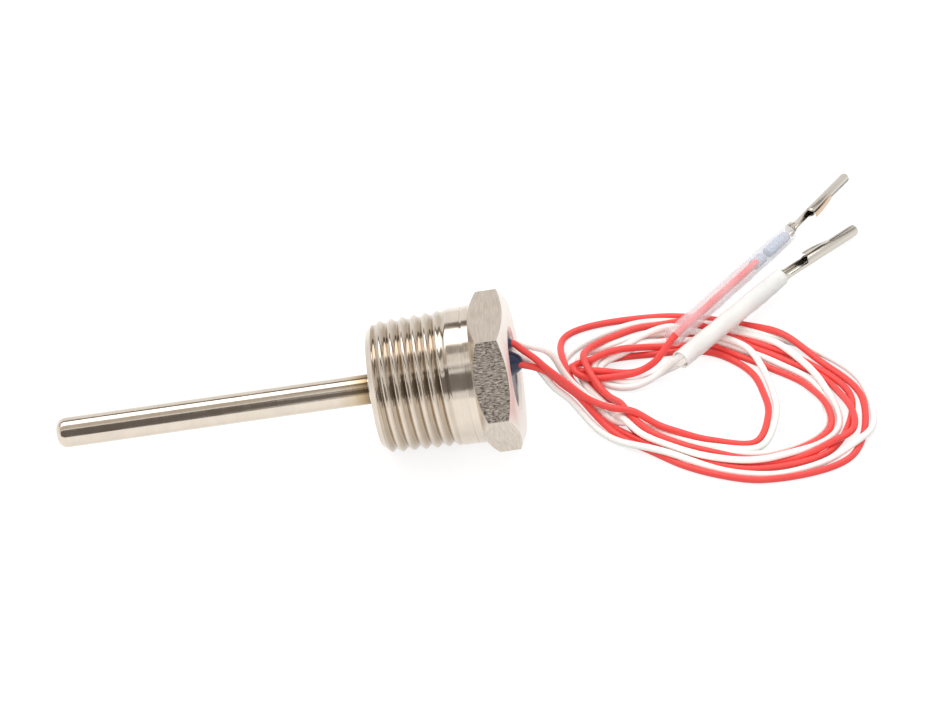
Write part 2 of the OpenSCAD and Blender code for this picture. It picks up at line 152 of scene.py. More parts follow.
def even_path(knots, step):
    """A smooth path through the knots with a point every step: each stretch between two knots is
    the cubic whose slope at a knot follows the knots on both sides, weighted by their spacing."""
    samples_a_knot = 24
    k = np.asarray(knots, float)
    t = np.concatenate([[0], np.cumsum(np.linalg.norm(np.diff(k, axis=0), axis=1) ** 0.5)])
    h = np.diff(t)[:, None]
    d = np.diff(k, axis=0) / h
    slope = np.empty_like(k)
    slope[1:-1] = (d[:-1] * h[1:] + d[1:] * h[:-1]) / (h[1:] + h[:-1])
    slope[0], slope[-1] = d[0], d[-1]
    q = np.linspace(0, t[-1], len(k) * samples_a_knot)
    i = np.clip(np.searchsorted(t, q, side="right") - 1, 0, len(k) - 2)
    x = (q - t[i])[:, None] / h[i]
    p = ((2 * x**3 - 3 * x**2 + 1) * k[i] + (x**3 - 2 * x**2 + x) * h[i] * slope[i]
         + (3 * x**2 - 2 * x**3) * k[i + 1] + (x**3 - x**2) * h[i] * slope[i + 1])
    s = distances(p)
    w = np.linspace(0, s[-1], max(2, int(round(s[-1] / step))) + 1)
    return np.stack([np.interp(w, s, p[:, axis]) for axis in range(3)], -1)


def put_tube(name, path, radius, sides, material, slot):
    """A tube along the path. Its rings stand square to the path, with one axis level and the
    other rising from it, and each end closes in to a point-like ring."""
    along = np.gradient(path, axis=0)
    along /= np.linalg.norm(along, axis=1)[:, None]
    level = np.cross(along, [0, 0, 1.0])
    level /= np.linalg.norm(level, axis=1)[:, None]
    rise = np.cross(level, along)
    a = even_angles(sides)[None, :, None]
    rings = path[:, None] + radius * (np.cos(a) * level[:, None] + np.sin(a) * rise[:, None])
    ends = [ring.mean(0) + (ring - ring.mean(0)) * 0.02 for ring in (rings[0], rings[-1])]
    rings = np.concatenate([ends[:1], rings, ends[1:]])
    s = distances(path)
    return put_grid(name, rings, material, 1, np.concatenate([s[:1], s, s[-1:]]), sharp=50, slot=slot)


# ---- materials


def rgb(r, g, b):
    """A colour with its alpha of one."""
    return (r, g, b, 1.0)


def new_material(name, **values):
    """A material with one Principled BSDF whose plain sockets hold the given values."""
    m = bpy.data.materials.new(name)
    m.use_nodes = True
    shader = m.node_tree.nodes["Principled BSDF"]
    for key, value in values.items():
        shader.inputs[key.replace("_", " ").title()].default_value = value
    return m


def metal(name, colour, roughness):
    """A plain metal."""
    return new_material(name, metallic=1.0, base_color=rgb(*colour), roughness=roughness)


def feed(tree, socket, given):
    """Gives a socket a plain value, or a link from another node's socket."""
    if isinstance(given, bpy.types.NodeSocket):
        tree.links.new(given, socket)
    else:
        socket.default_value = given


def add_node(tree, kind, fields=None, **given):
    """A shader node with its own fields set, then its sockets of those names fed."""
    node = tree.nodes.new("ShaderNode" + kind)
    for key, value in (fields or {}).items():
        setattr(node, key, value)
    for key, value in given.items():
        feed(tree, node.inputs[key.replace("_", " ")], value)
    return node


def add_math(tree, operation, *given):
    """The result of a Math node whose sockets are fed in order."""
    node = add_node(tree, "Math", {"operation": operation})
    for socket, value in zip(node.inputs, given):
        feed(tree, socket, value)
    return node.outputs[0]


def uv_of(tree):
    """The piece's own UV."""
    return add_node(tree, "UVMap", {"uv_map": "UVMap"}).outputs["UV"]


def empty_tree(owner):
    """The owner's node tree, switched on and cleared."""
    owner.use_nodes = True
    owner.node_tree.nodes.clear()
    return owner.node_tree


def new_group(name, inputs, outputs):
    """An empty shader group with the named float or colour inputs and its outputs."""
    group = bpy.data.node_groups.new(name, "ShaderNodeTree")
    for label, kind, value in inputs:
        socket = group.interface.new_socket(label, in_out="INPUT", socket_type="NodeSocket" + kind)
        socket.default_value = value
    for label, kind in outputs:
        group.interface.new_socket(label, in_out="OUTPUT", socket_type="NodeSocket" + kind)
    return group, group.nodes.new("NodeGroupInput"), group.nodes.new("NodeGroupOutput")


def lathe_group():
    """Turning marks: noise stretched far round the axis and short along it, as a colour that
    varies about one and as a bump. The piece's UV holds millimetres round and along the axis, and
    its painted shade in the thread's roots, where it has any, darkens the colour."""
    if "lathe_marks" in bpy.data.node_groups:
        return bpy.data.node_groups["lathe_marks"]
    inputs = [("Color", "Color", rgb(1, 1, 1)), ("Contrast", "Float", 0.2), ("Height", "Float", 0.002)]
    outputs = [("Color", "Color"), ("Roughness", "Float"), ("Normal", "Vector")]
    group, given, made = new_group("lathe_marks", inputs, outputs)
    stretch = add_node(group, "Mapping", Vector=uv_of(group), Scale=(0.12, 9.0, 1.0))
    fine = add_node(group, "TexNoise", Vector=stretch.outputs[0], Scale=1.0, Detail=3.0).outputs["Fac"]
    broad = add_node(group, "TexNoise", Vector=uv_of(group), Scale=0.35).outputs["Fac"]

    # The colour is scaled by 1 + contrast x (fine + broad - 1).
    contrast = given.outputs["Contrast"]
    less = add_math(group, "MULTIPLY_ADD", contrast, -1.0, 1.0)
    span = add_math(group, "MULTIPLY_ADD", add_math(group, "ADD", fine, broad), contrast, less)
    # Painted shade: where the mesh's attribute is set, in the thread's roots, the colour is darkened towards
    # a brown beige.
    root_shade = add_node(group, "Attribute", {"attribute_name": "root_shade"})
    root_shaded = add_node(group, "Mix", {"data_type": "RGBA", "blend_type": "MULTIPLY"},
                      Factor=root_shade.outputs["Fac"], A=given.outputs["Color"], B=rgb(0.60, 0.545, 0.48))
    tint = add_node(group, "VectorMath", {"operation": "SCALE"}, Vector=root_shaded.outputs["Result"], Scale=span)
    rough = add_node(group, "MapRange", Value=broad, From_Min=0.3, From_Max=0.7, To_Min=0.09, To_Max=0.17)
    bump = add_node(group, "Bump", Strength=given.outputs["Height"], Distance=0.001, Height=fine)
    for label, node in (("Color", tint), ("Roughness", rough), ("Normal", bump)):
        group.links.new(node.outputs[0], made.inputs[label])
    return group


def turned_material(name, colour, contrast, height):
    """Bright turned metal with the lathe's marks."""
    m = new_material(name, metallic=1.0)
    shader = m.node_tree.nodes["Principled BSDF"]
    marks = add_node(m.node_tree, "Group", {"node_tree": lathe_group()},
                     Color=rgb(*colour), Contrast=contrast, Height=height)
    for made, wanted in (("Color", "Base Color"), ("Roughness", "Roughness"), ("Normal", "Normal")):
        m.node_tree.links.new(marks.outputs[made], shader.inputs[wanted])
    return m


def flats_material(name, colour, dark, scale, strength, roughness):
    """A flat of the hexagon: short streaks along the bar, dark in their hollows, over a bump."""
    m = new_material(name, metallic=1.0, roughness=roughness)
    tree = m.node_tree
    stretch = add_node(tree, "Mapping", Vector=uv_of(tree), Scale=scale)
    streaks = add_node(tree, "TexNoise", Vector=stretch.outputs[0], Scale=1.0, Detail=4.0, Roughness=0.6,
                       Distortion=0.4).outputs["Fac"]
    ramp = add_node(tree, "ValToRGB", Fac=streaks)
    for stop, place, tone in zip(ramp.color_ramp.elements, (0.36, 0.64), (dark, colour)):
        stop.position, stop.color = place, rgb(*tone)
    bump = add_node(tree, "Bump", Strength=strength, Distance=0.0001, Height=streaks)
    for label, node in (("Base Color", ramp), ("Normal", bump)):
        tree.links.new(node.outputs[0], tree.nodes["Principled BSDF"].inputs[label])
    return m


def sheath_material(colour):
    """Drawn stainless steel: lathe marks, and a straw and violet tint that fades away from the
    weld with the distance along the sheath, which its UV holds."""
    m = turned_material("sheath_steel", colour, 0.22, 0.03)
    tree = m.node_tree
    marks = next(n for n in tree.nodes if n.type == "GROUP")
    along = add_node(tree, "SeparateXYZ", Vector=uv_of(tree)).outputs["Y"]
    span = add_node(tree, "MapRange", Value=along, From_Min=46.0, From_Max=51.5)
    ramp = add_node(tree, "ValToRGB", Fac=span.outputs[0])
    bands = ramp.color_ramp.elements
    bands[0].color, bands[1].color = rgb(1, 1, 1), rgb(0.36, 0.29, 0.21)
    for place, tone in ((0.5, (0.92, 0.86, 0.74)), (0.8, (0.66, 0.54, 0.38))):
        bands.new(place).color = rgb(*tone)
    tint = add_node(tree, "Mix", {"data_type": "RGBA", "blend_type": "MULTIPLY"},
                    Factor=1.0, A=marks.outputs["Color"], B=ramp.outputs["Color"])
    tree.links.new(tint.outputs["Result"], tree.nodes["Principled BSDF"].inputs["Base Color"])
    return m


def sleeve_material(name, tint):
    """Milky shrink film: a bright scattering skin with a soft shine, let through as its mesh's
    "haze" says."""
    m = new_material(name, base_color=rgb(*tint), roughness=0.28)
    haze = add_node(m.node_tree, "Attribute", {"attribute_name": "haze"})
    m.node_tree.links.new(haze.outputs["Fac"], m.node_tree.nodes["Principled BSDF"].inputs["Alpha"])
    return m


# ---- fitting

# Radii, lengths and stations along the probe's axis, in millimetres from the front face.
SHEATH_R, SHEATH_WALL, SEAT_STEP = 2.38, 0.5, 0.2
IMMERSION, WELD_LEG, SHEATH_END = 50.8, 0.9, 11.0
THREAD_R, LEAD_IN, LEAD_IN_DEPTH, TAPER = 10.35, 1.4, 1.2, 1 / 32
NECK_R, NECK_X, SHOULDER_X, HEX_X, REAR_X = 10.8, 12.9, 15.1, 16.4, 22.1
FLAT_R, FACE_R, FRONT_CHAMFER, REAR_CHAMFER = 11.1, 10.9, math.radians(36), math.radians(28)
CAVITY_R, CAVITY_X, MOUTH = 6.2, 9.5, 0.4
GROOVE_DEPTH, GROOVE_W, SHOULDER_R = 0.25, 0.35, FACE_R - 0.03
SEAT_R = SHEATH_R - SEAT_STEP
COLUMNS = 240
ROWS_A_PITCH = 22
RUN_OUT, RUN_OUT_GAP = 0.8, 0.1  # the thread fades over 0.8 of its pitch, ending just before the neck
DRAWN_FLATS = (2, 5)  # the two flats that keep the bar's drawn skin


def thread_groove(turns):
    """How deep the thread is cut, from 0 on the crest to 1 at the root, by the fraction of a
    turn past the crest: a narrow flat crest, two long flanks that are partly straight and partly
    a smooth step, and a rounded root."""
    crest, flank, straight = 0.06, 0.80, 0.55
    x = np.clip((np.abs((turns + 0.5) % 1 - 0.5) * 2 - crest) / flank, 0, 1)
    return straight * x + (1 - straight) * x * x * (3 - 2 * x)


def fitting_rows(pitch, depth):
    """The fitting's surface as rows round the axis: the front face, the helical thread, which
    starts in the lead-in chamfer and runs out before the neck, the neck, the shoulder, the
    hexagon between its two chamfers, the rear face, the cavity and the sheath's bore. Gives each
    row's x, radius and painted shade in the thread's roots for every column, and the number of the hexagon's
    first row."""
    a = even_angles(COLUMNS)
    start_r = THREAD_R + LEAD_IN * TAPER
    rows = [(0, SEAT_R), (0, start_r - LEAD_IN_DEPTH)]
    count = int(round(NECK_X / pitch * ROWS_A_PITCH))
    for x in np.linspace(0, NECK_X, count + 1)[1:]:
        fade = np.clip((NECK_X - RUN_OUT_GAP - x) / (RUN_OUT * pitch), 0, 1)
        cut = THREAD_R + x * TAPER - depth * fade * thread_groove(x / pitch - a / (2 * np.pi))
        cone = start_r - LEAD_IN_DEPTH + x * LEAD_IN_DEPTH / LEAD_IN
        rows.append((x, np.minimum(cut, cone)))
    groove_r, groove_end = NECK_R - GROOVE_DEPTH, SHOULDER_X + GROOVE_W
    rows += [(NECK_X, NECK_R), (SHOULDER_X, NECK_R), (SHOULDER_X, groove_r), (groove_end, groove_r),
             (groove_end, SHOULDER_R), (HEX_X, FACE_R)]
    hexagon = FLAT_R / np.cos((a + 1e-9) % (np.pi / 3) - np.pi / 6)
    front = HEX_X + (hexagon - FACE_R) * math.tan(FRONT_CHAMFER)
    rear = REAR_X - (hexagon - FACE_R) * math.tan(REAR_CHAMFER)
    first_hex = len(rows)
    rows += [(front + (rear - front) * t, hexagon) for t in (0.0, 0.5, 1.0)]
    rows += [(REAR_X, FACE_R), (REAR_X, CAVITY_R + MOUTH), (REAR_X - MOUTH, CAVITY_R), (CAVITY_X, CAVITY_R),
             (CAVITY_X, SEAT_R)]
    x, radius = [np.array([np.broadcast_to(row[side], COLUMNS) for row in rows]) for side in (0, 1)]
    # Painted shade in the thread's roots: the deeper the groove is cut, the darker, on the threaded part
    # only.
    threaded = (x > LEAD_IN * 0.6) & (x < NECK_X)
    cut_share = np.clip((THREAD_R + x * TAPER - radius) / depth, 0, 1)
    root_shade = cut_share ** 0.6 * threaded
    return x, radius, root_shade, first_hex


class PROBE_OT_fitting(bpy.types.Operator):
    """Turns the threaded fitting with its chamfered hexagon"""

    bl_idname = "probe.fitting"
    bl_label = "Threaded fitting"

    def execute(self, context):
        settings = context.scene.probe_settings
        x, radius, root_shade, first_hex = fitting_rows(settings.thread_pitch / MM, settings.thread_depth / MM)
        rows, girth = len(x), 2 * np.pi * 10
        v = distances(np.stack([x.mean(1), radius.mean(1)], -1))
        bright = turned_material("turned_steel", settings.steel, 0.25, 0.04)
        drawn = flats_material("drawn_flats", (0.80, 0.71, 0.62), (0.10, 0.08, 0.065),
                               scale=(6.5, 1.5, 1.0), strength=1.2, roughness=0.36)
        milled = flats_material("milled_flats", (0.76, 0.68, 0.60), (0.62, 0.54, 0.46),
                                scale=(0.5, 4.0, 1.0), strength=0.2, roughness=0.34)
        piece = put_grid("fitting", around_probe(x, radius, even_angles(COLUMNS)), bright, girth, v,
                         wrap_rows=True, sharp=38, slot="stainless")
        row, column = np.repeat(np.arange(rows), COLUMNS), np.tile(np.arange(COLUMNS), rows)
        flat = (row == first_hex) | (row == first_hex + 1)
        rolled = flat & np.isin(column // (COLUMNS // 6), DRAWN_FLATS)
        ids = np.select([rolled, flat, row >= first_hex + 2], [1, 2, 3], 0)
        put_slots(piece, ids, drawn, milled, metal("faced_steel", (0.88, 0.84, 0.78), 0.45))
        # The painted shade of the thread's roots goes onto the mesh as an attribute.
        put_values(piece, "root_shade", root_shade)
        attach(piece, "root")
        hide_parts("threaded_fitting")
        return {"FINISHED"}


# ---- sheath and potting

TIP_LEN, TIP_POWER = 1.8, 0.8  # the tip is a quarter round, flattened by the power
TIP_ROWS, SIDE_ROWS, WELD_ROWS = 18, 40, 12
SHEATH_COLUMNS, WELD_COLUMNS = 72, 144
SEAM = 0.05  # the sheath's full diameter ends this far in front of the weld's toe


def sheath_profile():
    """The sheath's closed profile, (s, radius) pairs: the outside from the tip to the weld, the
    seat in the fitting, and back along the bore to its round end."""
    bore, seat_s = SHEATH_R - SHEATH_WALL, -WELD_LEG - SEAM
    quarter = np.linspace(0.02, np.pi / 2, TIP_ROWS)
    tip = [(-IMMERSION + TIP_LEN * (1 - math.cos(t) ** TIP_POWER), SHEATH_R * math.sin(t) ** TIP_POWER)
           for t in quarter[:-1]]
    side = [(s, SHEATH_R) for s in np.linspace(-IMMERSION + TIP_LEN, seat_s, SIDE_ROWS)]
    seat = [(seat_s, SEAT_R), (SHEATH_END, SEAT_R), (SHEATH_END, bore)]
    inner = [(-IMMERSION + SHEATH_WALL + bore * (1 - math.cos(t)), bore * math.sin(t)) for t in quarter[::-1]]
    return np.array(tip + side + seat + inner)


def weld_rows():
    """The weld's s and radius for each row and column: a hollow quarter round from the sheath up
    to the fitting's face, closed at the sheath's seat. Seventeen beads ripple its middle, with a
    finer ripple of half their height."""
    a = even_angles(WELD_COLUMNS)
    t = np.linspace(0, np.pi / 2, WELD_ROWS)[:, None]
    ripple_h = 0.05
    ripple = ripple_h * (np.cos(17 * a) + 0.5 * np.cos(41 * a + 1))
    s = -WELD_LEG * (1 - np.sin(t)) + 0 * a
    radius = SHEATH_R + WELD_LEG * (1 - np.cos(t)) + ripple * np.sin(2 * t)
    seat = np.full((2, WELD_COLUMNS), SEAT_R)
    return np.concatenate([s, s[-1:], s[:1]]), np.concatenate([radius, seat])


class PROBE_OT_sheath(bpy.types.Operator):
    """Draws the closed sheath and its weld"""

    bl_idname = "probe.sheath"
    bl_label = "Sheath and weld"

    def execute(self, context):
        girth = 2 * np.pi * SHEATH_R
        profile = sheath_profile()
        s, radius = profile.T[:, :, None]
        drawn = sheath_material(context.scene.probe_settings.steel)
        sheath = put_grid("sheath", around_probe(s, radius, even_angles(SHEATH_COLUMNS)), drawn,
                          girth, distances(profile), sharp=40, slot="stainless")
        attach(sheath, "root")
        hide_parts("sheath_tube")

        s, radius = weld_rows()
        row_mm = 0.15
        rippled = turned_material("weld_steel", (0.84, 0.78, 0.68), 0.4, 0.1)
        weld = put_grid("weld", around_probe(s, radius, even_angles(WELD_COLUMNS)), rippled,
                        girth, np.arange(len(s)) * row_mm, wrap_rows=True, sharp=50, slot="weld")
        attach(weld, "root")
        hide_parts("sheath_weld")
        return {"FINISHED"}


# The potting's surface lies DIP under SURFACE_S. Its rim climbs the wall, its crown stands off the
# middle at CROWN_AT, and a skirt climbs each lead.
DIP, RIM, CROWN_H, SKIRT_H = 1.5, 0.25, 3.3, 2.0
CROWN_AT, CROWN_W, SKIRT_W, SKIRT_DROP = (0.2, 0.9), (1.9, 2.3), 0.6, 0.3
POTTING_GAP = 0.02  # to the cavity's wall


def potting_rise(y, z, a):
    """How high the potting stands over SURFACE_S at y and z: the flat surface and the rim, which
    fades exponentially from the wall, plus a crown that falls as the exponential of the distance
    cubed. A skirt that fades exponentially from each lead stands out of them, and a slight
    threefold unevenness goes over all of it."""
    r = np.hypot(y, z)
    rise = RIM * np.exp((r - CAVITY_R) / RIM) - DIP
    far = ((y - CROWN_AT[0]) / CROWN_W[0]) ** 2 + ((z - CROWN_AT[1]) / CROWN_W[1]) ** 2
    rise = rise + CROWN_H * np.exp(-far**1.5)
    for (_, lead_y, lead_z), _ in LEAVING.values():
        skirt = SKIRT_H * np.exp(-np.hypot(y - lead_y, z - lead_z) / SKIRT_W) - SKIRT_DROP
        rise = np.maximum(rise, skirt)
    return rise + 0.04 * np.sin(3 * a + r) * np.clip(1 - r / CAVITY_R, 0, 1)


class PROBE_OT_potting(bpy.types.Operator):
    """Pours the dark potting with its crown and the skirts round the leads"""

    bl_idname = "probe.potting"
    bl_label = "Potting"

    def execute(self, context):
        rings, columns, wall_r, middle_r = 56, 120, CAVITY_R - POTTING_GAP, 0.02
        a = even_angles(columns)
        r = wall_r * np.linspace(0.004, 1, rings)[:, None] ** 0.8
        y, z = r * np.cos(a), r * np.sin(a)
        top = on_table(SURFACE_S + potting_rise(y, z, a), y, z)
        under = around_probe(CAVITY_X + 0.1, np.array([[wall_r], [middle_r]]), a)
        resin = new_material("potting_resin", base_color=rgb(*context.scene.probe_settings.potting),
                             roughness=0.32)
        piece = put_grid("potting", np.concatenate([top, under]), resin, sharp=60, slot="potting")
        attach(piece, "root")
        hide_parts("potting_plug")
        return {"FINISHED"}


# ---- leads

LEAD_D = 1.1
LEAD_START_S, LEAD_STRAIGHT = 17.4, 0.6  # where the leads start in the potting, straight at first
SURFACE_S = 21.8  # the potting's surface on the probe's axis
# Where each lead leaves the potting: beyond its surface, y and z on the probe's axes.
LEAVING = {
    "red_1": [(0.3, 1.2, 4.2), (2.1, 0.5, 2.9)], "red_2": [(0.6, -0.4, 1.0), (2.4, -0.6, 0.6)],
    "white_1": [(0.3, 1.3, 1.2), (2.1, 1.4, 0.4)], "white_2": [(0.3, 2.5, 3), (2.2, 2.6, 2.2)],
}
# From there down to the coil, and from the coil's last turn up to the sleeves, on the table's axes.
EXITS = {
    "red_1": [(39.1, -0.3, 13.2), (40.4, -0.8, 11.8), (41.7, -0.9, 10.2), (43, -1, 8.7), (45.7, -1.5, 6.4),
              (48.5, -2.3, 5), (51.4, -3.7, 3.9), (55.4, -5.6, 3.1)],
    "red_2": [(39.8, -0.5, 11), (41.4, 0.1, 9), (42.7, -0.2, 7.4), (45, -0.8, 5.2), (47.3, -2.4, 3.6),
              (50.2, -4.8, 2.2), (53.1, -7.2, 1.4)],
    "white_1": [(39.2, 0.6, 10.6), (40.3, 0.2, 8.8), (41.4, -0.3, 7), (43.5, -0.8, 4.8), (47.1, -3.3, 2.6),
                (51, -6.6, 2.4)],
    "white_2": [(39.2, 3, 12.6), (40.6, 3.8, 11.2), (41.5, 4.2, 9.8), (42.1, 4.2, 8.4), (42.7, 3.9, 6.8),
                (43.7, 3.5, 5.2), (45.3, 2.7, 3.9), (47.3, 0.9, 2.8), (49.9, -1.6, 2), (53.5, -4.7, 1.6)],
}
TAILS = {
    "red_1": [(47.2, 7.3, 2.7), (50.3, 7.2, 2.8), (53.3, 7.4, 3.2), (55.4, 7.7, 3.8), (57.4, 8.1, 4.6)],
    "red_2": [(47.1, 8.7, 1.6), (50.2, 8.6, 1.7), (53.1, 8.8, 2.1), (55.3, 9.1, 2.7), (57.3, 9.5, 3.5)],
    "white_1": [(48, 9.2, 0.9), (50.3, 7.5, 0.9), (53, 6.8, 1.2), (55.6, 7.2, 1.6), (58.2, 7.8, 2.3)],
    "white_2": [(48.1, 7.8, 1.6), (50.4, 6.1, 1.6), (53.1, 5.4, 2), (55.7, 5.8, 2.4), (58.3, 6.5, 3.1)],
}
COIL = (65.0, 1.0)
# Each lead's turns: the angle of the first reach, then the reach from the coil's middle every
# 30 degrees.
TURNS = {
    "red_1": (240, [10.5, 10.8, 14.2, 10.8, 8.6, 8.4, 9.2, 11.4, 14.5, 20.6,
                    15.0, 13.8, 13.2, 15, 20.5, 26, 19.5, 14.1, 12.9, 15.5, 21.8, 22.0,
                    15.0, 13.4, 13.0, 14.8, 19.0, 22.3, 15.8, 11.2, 10.7, 13.4, 15.6]),
    "red_2": (230, [13.9, 15.8, 22.9, 28.6, 24.6, 18.8, 17.2, 18.3, 22.6, 29.1,
                    19.6, 15.3, 13.3, 14.6, 19.6, 24.6, 22.6, 17.0, 14.9, 15.0, 15.8]),
    "white_1": (240, [14.4, 16.4, 23.6, 28.4, 24.0, 18.6, 16.4, 18.4, 23.4, 26.0,
                      16.6, 13.0, 12.4, 14.4, 18.2, 21.0, 17.2, 13.0, 12.4, 14.6, 17.0]),
    "white_2": (240, [11.4, 12.4, 15.6, 12.2, 10.2, 10.3, 12.2, 14.6, 19.8, 23.4,
                      15.6, 13.4, 13.6, 16.2, 20.6, 22.4, 17.4, 15.2, 15.4, 16.4, 18.0]),
}
# Which turns lie on which: the count of reaches passed, and the height there in lead diameters.
LAYERS = {
    "red_1": [(0, 2.8), (1, 2.4), (3, 1.0), (6, 1.5), (10, 0.5), (13, 0.5), (17, 1.5), (20, 2.2),
              (22, 2.5), (25, 1.2), (29, 1.0), (33, 1.4), (40, 2.0)],
    "red_2": [(0, 1.0), (2, 0.3), (3, 0.2), (10, 0.2), (13, 0.2), (18, 0.5), (22, 0.6), (30, 0.8)],
    "white_1": [(0, 1.8), (3, 1.2), (4, 1.2), (6, 0.2), (14, 0.0), (20, 0.6), (30, 1.5)],
    "white_2": [(0, 0.6), (3, 0.5), (8, 1.6), (12, 0.4), (15, 1.8), (17, 2.4), (20, 1.6), (30, 1.5)],
}
# The last bend before the sleeve: angle and reach.
LAST_BENDS = {
    "red_1": [(133.6, 17.1), (143.8, 19.5), (150.5, 21.1), (154.4, 22.4), (157.4, 22.9), (160.8, 21.8)],
    "red_2": [(130.8, 18.2), (141, 20.3), (147.5, 21.9), (151.2, 23.3), (154, 23.7), (157.4, 22.4)],
    "white_1": [(138, 18.2), (147, 19.6), (152.5, 19.6)],
    "white_2": [(134, 18.4), (146, 20.2), (153.5, 20)],
}
# Where each contact's root lies, and how the sleeve and the contact lie from there: the heading
# and the fall towards the tip, in degrees.
CONTACT_AT = np.array([(78.9, 37.2, 2.9), (77.3, 26.2, 2.9)])
SLEEVE_HEADING, SLEEVE_FALL = (55.1, 52.5), 5.0
CONTACT_HEADING, CONTACT_FALL = (58.3, 45.6), 5.5
SLEEVE_LEN, SLEEVE_R, SLEEVE_WALL = (33.0, 26.5), 1.5, 0.17
# Each lead's contact, its y and z where it starts in the potting, and its side of the pair.
LEADS = {"red_1": (0, -0.66, 0.66, 1), "red_2": (0, 0.66, -0.66, -1),
         "white_1": (1, -0.66, -0.66, -1), "white_2": (1, 0.66, 0.66, 1)}
PAIR_ROLL = (126, 20)  # the angle at which each pair lies in its sleeve
LEAD_END = (-9.8, -8.6)  # where the insulation ends in each sleeve
ENDS = ("upper", "lower")

# How the leads settle on each other, in millimetres and rounds.
STEP = 0.5  # from one point of a lead to the next
HELD_START = 17  # so much of each lead stays where it leaves the potting
ROUNDS, CALM_AFTER = 160, 0.75  # after that share of the rounds nothing sinks any more
LOOK_EVERY, LOOK_OVER = 8, 1.9  # rounds between two searches, and how many gaps they look over
ALONG = 4  # gaps along one lead, under which its own points don't push each other
SINK = 0.05  # in one round
PUSH = (0.25, 0.25, 1.1)  # how far each axis takes part in a push
PUSH_MORE, FLOOR_MORE = 1.4, 1.3  # pushes go a little too far, so that fewer rounds do
HUMP, CALM_HUMP = 9.0, 4.0  # humps shorter than this are smoothed away, before and in the calm


def laid_down(k, heading, fall, x, y, z):
    """Points of a frame that starts at contact k's root, whose x runs at that heading over the
    table and falls by that angle, on the table's axes."""
    h, f = math.radians(heading), math.radians(fall)
    level, up = x * math.cos(f) + z * math.sin(f), z * math.cos(f) - x * math.sin(f)
    east, north = level * math.cos(h) - y * math.sin(h), level * math.sin(h) + y * math.cos(h)
    return CONTACT_AT[k] + np.stack([east, north, up], -1)


def pair_point(name, x, lead_d):
    """The lead's middle at x in its sleeve, where two leads lie side by side."""
    k, _, _, side = LEADS[name]
    a, r = math.radians(PAIR_ROLL[k]), side * (lead_d / 2 + 0.01)
    return laid_down(k, SLEEVE_HEADING[k], SLEEVE_FALL, x, r * math.cos(a), r * math.sin(a))


def lead_knots(name, lead_d):
    """The lead's way from the potting through its turns to the end of its insulation."""
    k, y, z, _ = LEADS[name]
    start = [on_table(LEAD_START_S, y, z), on_table(LEAD_START_S + LEAD_STRAIGHT, y, z)]
    start += [on_table(SURFACE_S + beyond, across, up) for beyond, across, up in LEAVING[name]]
    first, reach = TURNS[name]
    polar = [(first + 30 * i, r) for i, r in enumerate(reach)] + LAST_BENDS[name]
    a, r = np.array(polar, float).T
    a = np.radians(a)
    layer = np.interp(np.arange(1, len(a) + 1), *np.array(LAYERS[name]).T)
    turns = np.stack([COIL[0] + r * np.cos(a), COIL[1] + r * np.sin(a), lead_d * (0.5 + layer)], -1)
    mouth, end = -SLEEVE_LEN[k], LEAD_END[k]
    tail = [pair_point(name, x, lead_d) for x in (mouth + 1, mouth + 4, (end + mouth) / 2, end - 3, end)]
    return np.concatenate([start, EXITS[name], turns, TAILS[name], tail])


def smoother(held, length):
    """The matrix that smooths a lead's shift as a stiff wire would: its bending is charged against
    it, so humps shorter than the length vanish and long ones stay. The held points hardly move."""
    bend = np.diff(np.eye(len(held)), 2, axis=0)
    weight = np.where(held, 1e4, 1.0)
    return np.linalg.inv(np.diag(weight) + (length / (2 * np.pi * STEP)) ** 4 * bend.T @ bend) * weight


def settle(paths, held, gap):
    """Lets the leads lie on each other. Points of two leads, or of far stretches of one, that are
    closer than gap push each other apart, mostly up and down, and all sink to the table. Each
    round ends with the smoothing of every lead's shift. The held points stay."""
    sizes = [len(p) for p in paths]
    cuts = np.cumsum(sizes)[:-1]
    owner = np.repeat(np.arange(len(paths)), sizes)
    order = np.concatenate([np.arange(n) for n in sizes])
    rest, fixed = np.concatenate(paths), np.concatenate(held)
    early, late = [[smoother(h, length) for h in held] for length in (HUMP, CALM_HUMP)]
    shift = np.zeros_like(rest)
    floor = gap / 2
    for turn in range(ROUNDS):
        p = rest + shift
        if turn % LOOK_EVERY == 0:
            q = (p * p).sum(1)
            near = q[:, None] + q[None] - 2 * p @ p.T < (gap * LOOK_OVER) ** 2
            far_along = np.abs(order[:, None] - order[None]) * STEP > ALONG * gap
            near &= (owner[:, None] != owner[None]) | far_along
            near &= ~(fixed[:, None] & fixed[None])
            i, j = np.nonzero(np.triu(near))
        apart = p[j] - p[i]
        dist = np.linalg.norm(apart, axis=1) + 1e-9
        touch = dist < gap
        push = (np.clip(gap - dist, 0, None) / dist)[:, None] * apart * PUSH
        move, count = np.zeros_like(p), np.zeros(len(p))
        for side, way in ((i, -push), (j, push)):
            np.add.at(move, side, way)
            np.add.at(count, side, touch)
        shift += PUSH_MORE * move / np.maximum(count, 1)[:, None]
        calm = turn > ROUNDS * CALM_AFTER
        if not calm:
            shift[:, 2] -= SINK
        low = floor - rest[:, 2] - shift[:, 2]
        shift[:, 2] += FLOOR_MORE * np.clip(low, 0, None)
        parts = zip(late if calm else early, np.split(shift, cuts))
        shift = np.concatenate([smooth @ part for smooth, part in parts])
        shift[fixed] = 0
    p = rest + shift
    p[:, 2] = np.maximum(p[:, 2], floor)
    return np.split(p, cuts)


